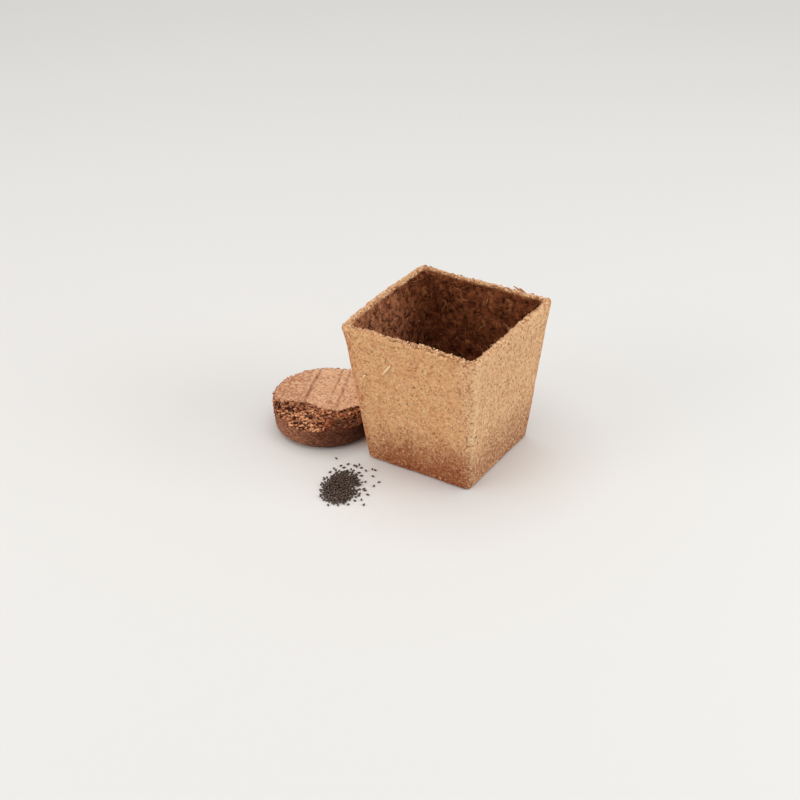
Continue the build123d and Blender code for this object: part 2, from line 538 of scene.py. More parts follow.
def matted_peat_material():
    """Inside of the pot: the same fibre left rough by the mould, dark and matted, with gaps between, and with
    a paler patch painted as lit on the upper front part of the wall at -X.
    """
    finish = Finish("matted_peat")
    mat = finish.cloud(3.0 * MM, 4.0, 0.7)
    matted = finish.blend(finish.step(mat, 0.3, 0.72), srgb(88, 42, 24), srgb(158, 92, 57))
    # Painted light: the upper front part of the inner wall at -X is painted paler, as lit.
    painted_lit_patch = finish.step(finish.coordinate("X"), -26 * MM, -34 * MM)
    painted_lit_patch = painted_lit_patch * finish.step(finish.coordinate("Y"), 26 * MM, -4 * MM)
    painted_lit_patch = painted_lit_patch * finish.step(finish.coordinate("Z"), 34 * MM, 66 * MM)
    matted = finish.blend(0.75 * painted_lit_patch * finish.step(mat, 0.32, 0.6), matted, srgb(196, 128, 92))
    matted = finish.blend(0.75 * finish.patches(1.5 * MM, 0.54, 0.68, 3.0, 0.7), matted, srgb(58, 26, 13))
    gaps = finish.hairs(5 * MM, 0.06, 4.0) * finish.patches(4 * MM, 0.44, 0.58)
    matted = finish.blend(0.85 * gaps, matted, srgb(44, 18, 9))
    matted = finish.blend(0.7 * finish.specks(4.2 * MM, 0.8 * MM, 0.25), matted, srgb(40, 16, 8))
    threads = finish.hairs(7 * MM, 0.04) * finish.patches(5 * MM, 0.5, 0.62)
    matted = finish.blend(0.45 * threads, matted, srgb(196, 134, 84))
    # The rim's edge is painted paler here too, partly as lit.
    matted = finish.blend(0.8 * finish.marked("rim"), matted, srgb(206, 148, 100))
    return finish.close({
        "Base Color": matted, "Roughness": 0.95, "Specular IOR Level": 0.05,
        "Normal": finish.bump(mat + 0.6 * finish.cloud(0.9 * MM, 2.0) - 0.3 * gaps, 0.7 * MM),
    })


def pressed_soil_top(finish, grain, lit_left_end):
    """Colour of the disc's pressed top: pale and grainy, redder at its left end, with dark press lines."""
    colour = finish.blend(finish.cloud(7 * MM, 3.0), srgb(214, 158, 118), srgb(232, 185, 147))
    colour = finish.blend(0.6 * lit_left_end, colour, srgb(176, 110, 74))
    colour = finish.blend(0.8 * finish.step(grain, 0.50, 0.63), colour, srgb(246, 206, 168))
    colour = finish.blend(0.8 * finish.step(grain, 0.48, 0.36), colour, srgb(150, 90, 60))
    colour = finish.blend(0.7 * finish.specks(5.5 * MM, 0.6 * MM, 0.5), colour, srgb(120, 70, 46))
    return finish.blend(0.9 * finish.marked("groove"), colour, srgb(138, 82, 54))


def layered_soil_side(finish, layers, lit_left_end):
    """Colour of the disc's side: dark layers, painted paler at its left end as lit, and darkest on the side
    of the pot as painted shade.
    """
    layer = finish.step(layers, 0.34, 0.66)
    colour = finish.blend(layer, srgb(60, 29, 18), srgb(124, 73, 49))
    # Painted light: the side is painted paler at its left end, as lit from the left.
    colour = finish.blend(lit_left_end, colour, finish.blend(layer, srgb(96, 52, 35), srgb(188, 126, 93)))
    # Painted shade: the side is painted darker where it faces the pot.
    painted_pot_shade = finish.step(finish.coordinate("X"), -48 * MM, -41 * MM)
    colour = finish.blend(0.6 * painted_pot_shade, colour, srgb(40, 20, 13))
    return finish.blend(0.8 * finish.patches(1.3 * MM, 0.54, 0.7, 3.0, 0.7), colour, srgb(48, 24, 15))


def soil_material():
    """Pressed peat and coir: a smooth pale top with press lines, a broken front and a dark side."""
    finish = Finish("pressed_soil")
    pressed = finish.marked("pressed")
    lit_left_end = finish.marked("lit_left_end")
    grain = finish.cloud(1.3 * MM, 3.0, 0.75)
    layers = finish.cloud(2.2 * MM, 4.0, 0.7, stretch=(1, 1, 3))

    crumbs = finish.patches(2.0 * MM, 0.36, 0.64, 4.0, 0.75)
    crumbs = finish.blend(crumbs, srgb(80, 36, 21), srgb(218, 148, 106))
    # Painted shade: the broken front is darkened where it sinks, and on its right below the upper ledge.
    crumbs = finish.blend(0.9 * finish.marked("pit_shade"), crumbs, srgb(46, 21, 12))

    side = layered_soil_side(finish, layers, lit_left_end)
    colour = finish.blend(pressed, side, pressed_soil_top(finish, grain, lit_left_end))
    colour = finish.blend(finish.marked("broken"), colour, crumbs)
    relief = (grain + 0.5 * layers) * (1.0 - 0.25 * pressed)
    return finish.close({
        "Base Color": colour, "Roughness": 0.95, "Sheen Weight": 0.05, "Sheen Roughness": 0.6,
        "Specular IOR Level": 0.1, "Normal": finish.bump(relief, 0.5 * MM),
    })


def crumb_material():
    """Loose crumbs of the soil disc, each with its own tone from dark to pale, with painted shade on those
    below the break's upper ledge, on its right.
    """
    finish = Finish("soil_crumbs")
    tone = finish.marked("tone")
    colour = finish.blend(finish.step(tone, 0.0, 0.45), srgb(46, 20, 12), srgb(180, 100, 64))
    colour = finish.blend(finish.step(tone, 0.35, 1.0), colour, srgb(242, 182, 136))
    colour = finish.blend(0.4 * finish.patches(1.2 * MM, 0.54, 0.65), colour, srgb(84, 40, 24))
    return finish.close({
        "Base Color": colour, "Roughness": 0.95, "Specular IOR Level": 0.1,
        "Normal": finish.bump(finish.cloud(0.6 * MM, 3.0, 0.7), 0.3 * MM),
    })


def fibre_material():
    """Loose wood and coir fibres, from straw to brown."""
    finish = Finish("peat_fibre")
    brightness = finish.patches(7 * MM, 0.38, 0.6, 1.0)
    colour = finish.blend(brightness, srgb(150, 96, 54), srgb(236, 196, 146))
    return finish.close({"Base Color": colour, "Roughness": 0.85, "Specular IOR Level": 0.2})


def fringe_material():
    """Torn skin and flakes of the rim, pale with a few brown ones."""
    finish = Finish("torn_rim")
    brightness = finish.patches(1.3 * MM, 0.36, 0.6, 3.0)
    colour = finish.blend(brightness, srgb(186, 126, 84), srgb(244, 206, 160))
    return finish.close({
        "Base Color": colour, "Roughness": 0.95, "Specular IOR Level": 0.1,
        "Normal": finish.bump(finish.cloud(0.6 * MM, 3.0, 0.7), 0.2 * MM),
    })


def inner_fibre_material():
    """Fibres matted on the inside, browner than those outside."""
    finish = Finish("inner_fibre")
    brightness = finish.patches(6 * MM, 0.4, 0.62, 1.0)
    colour = finish.blend(brightness, srgb(104, 56, 32), srgb(204, 142, 92))
    return finish.close({"Base Color": colour, "Roughness": 0.85, "Specular IOR Level": 0.2})


def straw_material():
    """Pale straw with fine lengthwise grain."""
    finish = Finish("straw")
    colour = finish.blend(finish.cloud(1.2 * MM, 3.0, 0.6), srgb(224, 178, 126), srgb(252, 222, 176))
    return finish.close({
        "Base Color": colour, "Roughness": 0.6, "Specular IOR Level": 0.3,
        "Normal": finish.bump(finish.cloud(0.4 * MM, 2.0), 0.1 * MM),
    })


def bark_material():
    """Chips of dark reddish bark."""
    finish = Finish("bark_chip")
    colour = finish.blend(finish.cloud(3 * MM, 2.0), srgb(88, 44, 26), srgb(164, 90, 60))
    return finish.close({
        "Base Color": colour, "Roughness": 0.9, "Specular IOR Level": 0.15,
        "Normal": finish.bump(finish.cloud(0.5 * MM, 3.0), 0.2 * MM),
    })


def splinter_material():
    """Splinter of brown wood."""
    finish = Finish("wood_splinter")
    colour = finish.blend(finish.cloud(1.5 * MM, 3.0), srgb(128, 78, 46), srgb(206, 150, 104))
    return finish.close({"Base Color": colour, "Roughness": 0.85, "Specular IOR Level": 0.15})


def seed_material():
    """Dark seed coat with a faint sheen and finely pitted."""
    finish = Finish("seed_coat")
    colour = finish.blend(finish.cloud(1.1 * MM, 2.0), srgb(46, 34, 28), srgb(112, 88, 75))
    return finish.close({
        "Base Color": colour, "Roughness": 0.5, "Specular IOR Level": 0.3,
        "Normal": finish.bump(finish.cloud(0.25 * MM, 2.0), 0.03 * MM, 0.6),
    })


def floor_material():
    """Plain pale floor, almost of one tone."""
    finish = Finish("pale_floor")
    colour = finish.blend(finish.cloud(0.6, 1.0), srgb(229, 227, 224), srgb(231, 229, 226))
    return finish.close({"Base Color": colour, "Roughness": 0.9, "Specular IOR Level": 0.1})


# Pot

def wall_half_width(height):
    """Half of the pot's outside width at a height."""
    return BASE_HALF_WIDTH + (RIM_HALF_WIDTH - BASE_HALF_WIDTH) * height / POT_HEIGHT


def depth_in_wall(place):
    """How deep a point lies behind the pot's outside: 0 on it, the wall's thickness on the inside."""
    straight = wall_half_width(place.z) - POT_CORNER
    across = max(abs(place.x) - straight, 0.0)
    along = max(abs(place.y) - straight, 0.0)
    past = min(max(abs(place.x), abs(place.y)) - straight, 0.0)
    return POT_CORNER - math.hypot(across, along) - past


def wall_push(place):
    """How far the wall stands out sideways: each bows in at half height, and the one by the disc bulges."""
    share = place.z / POT_HEIGHT
    half = wall_half_width(place.z)
    across = place.x / half
    along = place.y / half
    bow = WALL_BOW * 4.0 * share * (1.0 - share)
    mid_along = max(1.0 - along ** 2, 0.0)
    mid_across = max(1.0 - across ** 2, 0.0)
    push = Vector((-bow * across * mid_along, -bow * along * mid_across, 0.0))
    bulge = WALL_BULGE * ease(-across, 0.6, 0.85) + RIM_SWELL * ease(-across, 0.92, 0.99)
    push.x -= bulge * share ** 2 * mid_along
    flare = RIM_FLARE * ease(place.z, POT_HEIGHT - 14 * MM, POT_HEIGHT) * (0.6 + 1.2 * lumps(place, 9 * MM))
    push += Vector((across, along, 0.0)) * flare
    return push


def inwards(place):
    """The way into the pot from its nearest wall."""
    if abs(place.x) > abs(place.y):
        return Vector((-math.copysign(1.0, place.x), 0.0, 0.0))
    return Vector((0.0, -math.copysign(1.0, place.y), 0.0))


def rim_crack(place, depth):
    """How strongly the crack behind the torn skin of the front rim runs through a point, from 0 to 1."""
    if place.y > -abs(place.x):
        return 0.0
    away = abs(depth - 1.7 * MM - 0.5 * MM * lumps(place, 6 * MM))
    runs = ease(place.x, FLASH_START - 6 * MM, FLASH_START) * ease(place.x, FLASH_END, FLASH_END - 3 * MM)
    return runs * ease(away, 0.5 * MM, 0.1 * MM) * ease(lumps(place, 4 * MM), -0.35, -0.1)


def press_pot_skin(place, normal, depth, inside, rim):
    """Where a point of the even skin ends up: pressed smooth outside, matted inside, torn at the rim."""
    wave = rough(place, (0.25, 22), (0.10, 6), (0.08, 2.0))
    mat = rough(place, (0.55, 6)) + 0.85 * MM * felt(place, 2.6 * MM) - 0.2 * MM
    moved = place + wall_push(place) + normal * (wave + (mat - wave) * inside)
    tear = rough(place, (0.45, 2.6), (0.5, 1.3), (0.5, 7)) + 0.2 * MM - 0.7 * MM * rim_crack(place, depth)
    inner_edge = rim * ease(depth, 1.6 * MM, 3.2 * MM)
    teeth = 0.8 * MM * max(lumps(place, 1.7 * MM), -0.3) + rough(place, (0.4, 0.9))
    wear = RIM_WEAR * ease(depth, 2.0 * MM, 0.2 * MM) * ease(place.z, POT_HEIGHT - 2.6 * MM, POT_HEIGHT)
    corner = (Vector((place.x, place.y)) - Vector((-1.0, 1.0)) * RIM_HALF_WIDTH).length
    back = max(0.5 * MM * ease(place.y, 30 * MM, 37 * MM), 0.7 * MM * ease(corner, 7 * MM, 1 * MM))
    moved.z += rim * (tear + back) + inner_edge * teeth - wear
    ragged = inner_edge * 0.9 * lumps(place, 2.1 * MM) + 0.5 * (rim - inner_edge) * lumps(place, 1.6 * MM)
    moved += inwards(place) * ragged * MM
    moved.z = min(max(moved.z, 0.0), POT_HEIGHT + RIM_PROUD)
    return moved


def near_corner(across, along):
    """How near a place lies to the upright edge where both shares reach 1, from 0 to 1."""
    return ease(min(across, along), 0.80, 0.97) * ease(max(across, along), 0.92, 0.97)


def make_pot():
    """The pot's shell, with its marks for the materials, of which the second is for the inside."""
    shape = even_skin("pot", POT_VOXEL)
    rim_start = POT_HEIGHT - RIM_BAND
    rim_edges = [edge for edge in shape.edges if min(vert.co.z for vert in edge.verts) > rim_start]
    bmesh.ops.subdivide_edges(shape, edges=rim_edges, cuts=1, use_grid_fill=True)
    shape.normal_update()
    shape.verts.index_update()
    marks = {"rim": [], "crack": [], "lip": [], "painted_edge_highlight": [], "red_edge": []}
    insides = []
    places = []
    for vert in shape.verts:
        place = vert.co
        depth = depth_in_wall(place)
        inside = ease(depth, 1.6 * MM, 2.9 * MM) * ease(place.z, 1.5 * MM, 3.0 * MM)
        rim = ease(place.z, POT_HEIGHT - 1.3 * MM, POT_HEIGHT - 0.4 * MM)
        across = place.x / wall_half_width(place.z)
        along = place.y / wall_half_width(place.z)
        marks["rim"].append(rim * ease(depth + 0.9 * MM * lumps(place, 2.4 * MM), 0.9 * MM, 2.3 * MM))
        # Where the crack runs, for its painted shade.
        marks["crack"].append(rim * rim_crack(place, depth))
        marks["lip"].append(ease(depth + 0.6 * MM * lumps(place, 2.0 * MM), 2.3 * MM, 3.1 * MM))
        # Painted highlight: where the pale band along the front upright edge lies.
        marks["painted_edge_highlight"].append(ease(across, 0.94, 0.99) * ease(-along, 0.80, 0.93))
        marks["red_edge"].append(max(near_corner(across, along), near_corner(-across, -along)))
        insides.append(inside)
        places.append(press_pot_skin(place, vert.normal, depth, inside, rim))
    for face in shape.faces:
        levels = [insides[vert.index] for vert in face.verts]
        if min(levels) > 0.5 and max(vert.co.z for vert in face.verts) < POT_HEIGHT - 0.5 * MM:
            face.material_index = 1
    for vert, place in zip(shape.verts, places):
        vert.co = place
    mesh = mesh_from(shape, "pot_shell")
    for name, values in marks.items():
        mark(mesh, name, values)
    return new_object("pot_shell", mesh)


def seat(carrier, place):
    """The nearest point of a piece's surface and the way that it faces there."""
    _, point, normal, _ = carrier.closest_point_on_mesh(place)
    return point, normal


def add_chip(shape, draw, place, size, flat=0.6, turn=None):
    """Adds one small ragged chip, turned at random unless it is told how to lie."""
    narrow = draw.uniform(0.55, 0.9)
    if turn is None:
        turn = turned([draw.uniform(0, 360) for _ in range(3)])
    else:
        narrow *= 0.75
    form = turn @ Matrix.Diagonal((size, size * narrow, size * flat))
    spin = turned([draw.uniform(0, 360) for _ in range(3)])
    made = bmesh.ops.create_icosphere(shape, subdivisions=1, radius=1.0)
    for vert in made["verts"]:
        vert.co = place + form @ spin @ (vert.co * draw.uniform(0.7, 1.2))


def sideways(out):
    """The level way along a wall, from the way out of it."""
    return Vector((-out.y, out.x, 0.0))


def random_wall_place(draw, inside):
    """A random place on the pot's walls, before its surface is found, and the way out of that wall."""
    height = POT_HEIGHT * draw.uniform(*HEIGHT_SHARES)
    across = draw.uniform(-1.0, 1.0)
    half = wall_half_width(height) - (WALL if inside else 0.0)
    out = draw.choice(WAYS_OUT)
    return out * half + sideways(out) * half * WIDTH_SHARE * across + Vector((0.0, 0.0, height)), out


def make_bark_chips(pot):
    """Bits of bark pressed into the walls and the rim."""
    draw = random.Random(11)
    shape = bmesh.new()
    for place, size in BARK_CHIPS:
        point, _ = seat(pot, Vector(place) * MM)
        add_chip(shape, draw, point, size * MM)
    for _ in range(BARK_CHIP_COUNT):
        place, _ = random_wall_place(draw, draw.random() < 0.35)
        point, normal = seat(pot, place)
        size = between(draw, BARK_CHIP_SIZES)
        add_chip(shape, draw, point - normal * 0.4 * size, size)
    return new_object("bark_chips", mesh_from(shape, "bark_chips", False))


def make_rim_fringe(pot):
    """Torn flakes along the rim's inner edge, tallest at the front where the mould's seam was trimmed."""
    draw = random.Random(23)
    shape = bmesh.new()
    inner = RIM_HALF_WIDTH - WALL
    for _ in range(FRINGE_COUNT):
        along = draw.uniform(-1.0, 1.0) * (inner + 0.5 * WALL)
        out = draw.choice(WAYS_OUT + WAYS_OUT[-1:])
        back = draw.uniform(-0.2, 1.0) if draw.random() < 0.7 else draw.uniform(1.0, 3.2)
        place = out * (inner + back * MM) + sideways(out) * along + RIM_LEVEL
        tall = 0.0
        if out.y < -0.5:
            tall = math.exp(-((place.x - FRINGE_PEAK) / FRINGE_SPREAD) ** 2)
        point, _ = seat(pot, place)
        size = between(draw, FRINGE_SIZES) * (1.0 + 0.6 * tall)
        lift = draw.uniform(0.0, 0.5 + 0.8 * tall) * size
        add_chip(shape, draw, point + Vector((0.0, 0.0, lift)), size, 0.5)
    return new_object("rim_fringe", mesh_from(shape, "rim_fringe", False))


def make_rim_flash():
    """Torn skin that stands along the rim's inner edge: ragged strips, tallest at the front."""
    shape = bmesh.new()
    reach = RIM_HALF_WIDTH - 0.5 * WALL
    for (out_x, out_y), height in FLASH_HEIGHTS.items():
        out = Vector((out_x, out_y, 0.0))
        strip = bmesh.ops.create_grid(shape, x_segments=220, y_segments=3, size=0.5)["verts"]
        for vert in strip:
            along = 2.0 * vert.co.x * reach
            up = vert.co.y + 0.5
            foot = out * (RIM_HALF_WIDTH - WALL + 0.5 * MM) + sideways(out) * along
            ragged = 0.35 + 0.9 * lumps(foot, 1.9 * MM) + 0.6 * lumps(foot, 0.8 * MM)
            if out.y < -0.5:
                begins = ease(foot.x, FLASH_START, FLASH_START + 8 * MM)
                ends = ease(foot.x, FLASH_END, FLASH_END - 5 * MM)
                ragged *= 0.3 + 0.7 * begins * ends
            rise = min(max(ragged, 0.0) * height, FLASH_TALLEST)
            lean = rough(foot, (0.5, 3)) * up + rough(foot, (0.5, 7))
            vert.co = foot + out * lean + wall_push(foot + RIM_LEVEL)
            vert.co.z = POT_HEIGHT - FLASH_ROOT + up * (FLASH_ROOT + rise)
        bmesh.ops.solidify(shape, geom=faces_of(strip), thickness=FLASH_THICKNESS)
    bmesh.ops.recalc_face_normals(shape, faces=shape.faces)
    return new_object("rim_flash", mesh_from(shape, "rim_flash"))


def lay_straw(shape, pot, start, end, width):
    """Adds one flat sliver of straw that lies on the pot's wall."""
    made = bmesh.ops.create_grid(shape, x_segments=10, y_segments=3, size=0.5)
    middle = (start + end) / 2
    along = end - start
    _, out = seat(pot, middle)
    across = along.cross(out).normalized() * width
    for vert in made["verts"]:
        taper = 1.0 - abs(2.0 * vert.co.x) ** 3 * 0.7
        place = middle + along * vert.co.x + across * vert.co.y * taper
        point, normal = seat(pot, place)
        vert.co = point + normal * (STRAW_THICKNESS + STRAW_RISE * (1.0 - (2.0 * vert.co.y) ** 2))
    bmesh.ops.solidify(shape, geom=faces_of(made["verts"]), thickness=STRAW_THICKNESS)


def make_straws(pot):
    """Slivers of straw pressed into the walls: the two that show, and smaller ones all round."""
    draw = random.Random(31)
    shape = bmesh.new()
    for start, end, width in STRAWS:
        lay_straw(shape, pot, Vector(start) * MM, Vector(end) * MM, width * MM)
    for _ in range(STRAW_COUNT):
        start, out = random_wall_place(draw, draw.random() < 0.4)
        heading = sideways(out) * draw.uniform(-1, 1) + Vector((0.0, 0.0, draw.uniform(-1, 1)))
        end = start + heading.normalized() * between(draw, STRAW_LENGTHS)
        lay_straw(shape, pot, start, end, between(draw, STRAW_WIDTHS))
    bmesh.ops.recalc_face_normals(shape, faces=shape.faces)
    return new_object("straw_slivers", mesh_from(shape, "straw_slivers"))


def strand_on(pot, draw, start, out, length, lift):
    """Points of a fibre that wanders over a wall and stands off it by up to lift in its middle."""
    angle = draw.uniform(0, 2 * math.pi)
    place = start
    points = []
    for step in range(FIBRE_STEPS):
        angle += draw.gauss(0, 0.35)
        heading = sideways(out) * math.cos(angle) + Vector((0.0, 0.0, math.sin(angle)))
        place = place + heading * length / FIBRE_STEPS
        place.z = max(place.z, LOWEST_FIBRE)
        point, normal = seat(pot, place)
        points.append(point + normal * lift * math.sin(math.pi * step / (FIBRE_STEPS - 1)))
    return points


def short_fibre(root, heading, bend, length):
    """Points of a short fibre that starts under the surface and bends more and more on its way."""
    return [root + (heading * share + bend * share * share) * length for share in SHORT_FIBRE_SHARES]


def rim_strand(pot, draw):
    """Points of a short fibre that stands out of the rim."""
    along = draw.uniform(-1.0, 1.0) * RIM_HALF_WIDTH
    out = draw.choice(WAYS_OUT)
    depth = draw.uniform(0.6, WALL / MM) * MM
    root, _ = seat(pot, out * (RIM_HALF_WIDTH - depth) + sideways(out) * along + RIM_LEVEL)
    heading = out * draw.uniform(-1.0, 0.5) + sideways(out) * draw.uniform(-1.2, 1.2)
    heading = (heading + Vector((0.0, 0.0, 0.35))).normalized()
    droop = Vector((0.0, 0.0, -draw.uniform(0.0, 0.5)))
    return short_fibre(root, heading, droop, between(draw, RIM_FIBRE_LENGTHS))


def tuft_strand(pot, draw):
    """Points of one fibre of the tuft that stands on the right rim."""
    spread = Vector((draw.gauss(0, 0.5), draw.gauss(0, 1.6), 0.0))
    root, _ = seat(pot, (TUFT_PLACE + spread) * MM)
    heading = Vector((draw.uniform(-1.0, 0.0), draw.uniform(-0.8, 0.8), draw.uniform(0.3, 0.9))).normalized()
    length = between(draw, TUFT_LENGTHS)
    bend = Vector((draw.gauss(0, 0.2), draw.gauss(0, 0.2), -0.2))
    return short_fibre(root, heading, bend, length)


def make_fibres(name, strands):
    """Thin tapered fibres, one for each list of points and its thickness, as one mesh."""
    curve = bpy.data.curves.new(name, "CURVE")
    curve.dimensions = "3D"
    curve.bevel_depth = 1.0
    curve.bevel_resolution = 0
    curve.resolution_u = 2
    curve.use_fill_caps = True
    for points, thickness in strands:
        spline = curve.splines.new("NURBS")
        spline.points.add(len(points) - 1)
        for index, point in enumerate(points):
            share = index / (len(points) - 1)
            spline.points[index].co = (*point, 1.0)
            spline.points[index].radius = thickness / 2 * (1.0 - 0.6 * abs(2.0 * share - 1.0) ** 2)
        spline.order_u = 3
        spline.use_endpoint_u = True
    shape = applied(new_object(name, curve))
    bmesh.ops.recalc_face_normals(shape, faces=shape.faces)
    return new_object(name, mesh_from(shape, name))


def make_outer_fibres(pot):
    """Fibres pressed flat into the outside, and short ones that stand out of the rim."""
    draw = random.Random(41)
    strands = []
    for _ in range(OUTER_FIBRE_COUNT):
        start, out = random_wall_place(draw, False)
        length = between(draw, OUTER_FIBRE_LENGTHS)
        points = strand_on(pot, draw, start, out, length, OUTER_FIBRE_LIFT)
        strands.append((points, between(draw, OUTER_FIBRE_WIDTHS)))
    for _ in range(RIM_FIBRE_COUNT):
        strands.append((rim_strand(pot, draw), between(draw, RIM_FIBRE_WIDTHS)))
    for _ in range(TUFT_COUNT):
        strands.append((tuft_strand(pot, draw), between(draw, TUFT_WIDTHS)))
    return make_fibres("outer_fibres", strands)


def make_splinters():
    """The forked splinter that stands out of the back of the rim."""
    strands = [([Vector(point) * MM for point in points], SPLINTER_THICKNESS) for points in SPLINTERS]
    return make_fibres("rim_splinters", strands)


def make_inner_fibres(pot):
    """Coarser fibres matted over the inside, some of them standing off the wall."""
    draw = random.Random(43)
    strands = []
    for _ in range(INNER_FIBRE_COUNT):
        start, out = random_wall_place(draw, True)
        length = between(draw, INNER_FIBRE_LENGTHS)
        points = strand_on(pot, draw, start, out, length, between(draw, INNER_FIBRE_LIFTS))
        strands.append((points, between(draw, INNER_FIBRE_WIDTHS)))
    return make_fibres("inner_fibres", strands)


# Soil disc

def across_and_forward(place):
    """A place on the disc as the viewer sees it: how far to the right, and how far forward."""
    angle = math.radians(VIEWER_AZIMUTH)
    across = place.x * math.cos(angle) + place.y * math.sin(angle)
    forward = place.x * math.sin(angle) - place.y * math.cos(angle)
    return across, forward


def past_break(place):
    """How far a place on the disc lies past the crust's broken edge. Negative on the whole top."""
    across, forward = across_and_forward(place)
    for (start, start_edge), (end, end_edge) in zip(BREAK_EDGE, BREAK_EDGE[1:]):
        if across <= end * MM:
            break
    share = min(max((across - start * MM) / ((end - start) * MM), 0.0), 1.0)
    return forward - (start_edge + (end_edge - start_edge) * share) * MM


def ragged_past(place):
    """The same with a ragged edge, and with the crumbled outer edge of the disc counted as broken too."""
    flat = Vector((place.x, place.y, 0.0))
    wander = 0.8 * lumps(flat, 6 * MM) + 0.7 * lumps(flat, 2.2 * MM) + 0.7 * lumps(flat, 1.1 * MM)
    wander *= BREAK_WANDER
    return past_break(place) + wander, flat.length - DISC_RADIUS + 1.1 * MM + 0.8 * wander


def blocks(place, size):
    """Relief of loose blocks from about -1 to 1: each at its own height, with gaps between them."""
    distances, points = noise.voronoi(place / size)
    gap = ease(distances[1] - distances[0], 0.0, 0.25)
    return 1.4 * noise.noise(points[0] * 2.3) * gap - 0.5 * (1.0 - gap)


def recess(place, past):
    """How deep in the dark hollow of the break, on its right, a place lies, from 0 to 1."""
    across, _ = across_and_forward(place)
    sinks = ease(across, 2.0 * MM, 8.0 * MM) * ease(past, 2.5 * MM, 4.5 * MM)
    return sinks * ease(past, 13.0 * MM, 10.0 * MM)


def painted_hollow_shade(place, past):
    """How much painted shade the break gets below its upper ledge, on its right, from 0 to 1."""
    across, _ = across_and_forward(place)
    return ease(across + rough(place, (4.0, 4)), -8.0 * MM, 5.0 * MM) * ease(past, 3.0 * MM, 5.0 * MM)


def smooth_height(place, past, past_rim):
    """Height of the disc's top at a place that far past its breaks, before it is roughened."""
    drop = CRUST_STEP * ease(past, 0.0, 0.9 * MM) + BREAK_SLOPE * max(past, 0.0)
    drop += RECESS_DEPTH * recess(place, past)
    drop_rim = 0.9 * MM * ease(past_rim, 0.0, 1.0 * MM)
    return DISC_HEIGHT - max(drop, drop_rim)


def groove_mark(place):
    """How strongly a press line runs through a point of the disc's top, from 0 to 1."""
    across, forward = across_and_forward(place)
    across += 0.45 * MM * lumps(place, 8 * MM)
    strongest = 0.0
    for middle, lean, half_width, strength in GROOVES:
        away = abs(across - middle * MM - lean * forward) / (half_width * MM)
        strongest = max(strongest, strength * ease(away, 1.0, 0.1))
    return strongest * (0.7 + 0.6 * lumps(place, 3.5 * MM))


def carved_disc():
    """The disc's even skin with its grooves filled and its broken parts carved down in ledges, as a bmesh."""
    shape = even_skin("soil_disc", DISC_ROUGH_VOXEL)
    for vert in shape.verts:
        place = vert.co - DISC_PLACE
        past, past_rim = ragged_past(place)
        if past < 0 and past_rim < 0 and place.z > DISC_HEIGHT - 0.8 * MM:
            vert.co.z = DISC_HEIGHT
        elif place.z > DISC_HEIGHT / 3:
            rough = ease(past, 0.0, 1.0 * MM) + 0.5 * ease(past_rim, 0.0, 1.0 * MM)
            across, forward = across_and_forward(place)
            flaky = Vector((0.5 * across, forward, 0.0))
            relief = 1.2 * MM * blocks(flaky, 2.6 * MM) + 0.5 * MM * blocks(flaky, 1.4 * MM)
            vert.co.z = min(place.z, smooth_height(place, past, past_rim) + min(rough, 1.0) * relief)
    carved = new_object("disc_carved", mesh_from(shape, "disc_carved"))
    return remeshed(carved, DISC_VOXEL)


def make_soil_disc():
    """The disc's body: smooth pressed top, crumbled front and edge, and a rough layered side."""
    shape = carved_disc()
    shape.normal_update()
    marks = {"pressed": [], "broken": [], "pit_shade": [], "groove": [], "lit_left_end": []}
    places = []
    for vert in shape.verts:
        place = vert.co - DISC_PLACE
        past, past_rim = ragged_past(place)
        level = smooth_height(place, past, past_rim)
        loose = max(ease(past, -0.2 * MM, 0.3 * MM), ease(past_rim, -0.2 * MM, 0.3 * MM))
        foot = level - (1.0 + 1.2 * lumps(place, 5 * MM) + 1.0 * lumps(place, 2 * MM)) * MM
        broken = loose * ease(place.z, foot - 0.6 * MM, foot + 0.6 * MM)
        pressed = (1.0 - loose) * ease(place.z, DISC_HEIGHT - 0.8 * MM, DISC_HEIGHT - 0.3 * MM)
        groove = groove_mark(place) * pressed
        layered = lumps(Vector((place.x, place.y, 2.5 * place.z)), 2.4 * MM)
        side = 0.36 * MM * layered + rough(place, (0.2, 1.3), (0.15, 5)) - 0.1 * MM
        flat = rough(place, (0.10, 9), (0.05, 1.6)) - GROOVE_DEPTH * groove
        blocky = Vector((0.6 * place.x, 0.6 * place.y, 1.2 * place.z))
        crumbled = 0.6 * MM * blocks(blocky, 1.7 * MM) + rough(place, (0.2, 0.9))
        shift = pressed * flat + (1.0 - pressed) * (side * (1.0 - broken) + broken * crumbled)
        moved = place + vert.normal * shift
        spread = math.hypot(moved.x, moved.y)
        if spread > DISC_RADIUS + DISC_PROUD:
            pull = (DISC_RADIUS + DISC_PROUD) / spread
            moved.x *= pull
            moved.y *= pull
        moved.z = min(max(moved.z, 0.0), DISC_HEIGHT)
        marks["pressed"].append(pressed)
        marks["broken"].append(broken)
        # Painted shade: where the broken front sinks below its level or is pushed in, and below its upper
        # ledge on its right.
        sunk = max(ease(moved.z, level - 0.3 * MM, level - 1.3 * MM), ease(shift, -0.1 * MM, -0.45 * MM))
        marks["pit_shade"].append(broken * max(sunk, 0.75 * painted_hollow_shade(place, past)))
        marks["groove"].append(groove)
        # The left end: the side is painted paler there as lit, and the top is redder.
        marks["lit_left_end"].append(ease(across_and_forward(place)[0], 4 * MM, -24 * MM))
        places.append(moved + DISC_PLACE)
    for vert, place in zip(shape.verts, places):
        vert.co = place
    mesh = mesh_from(shape, "disc_body")
    for name, values in marks.items():
        mark(mesh, name, values)
    return new_object("disc_body", mesh)


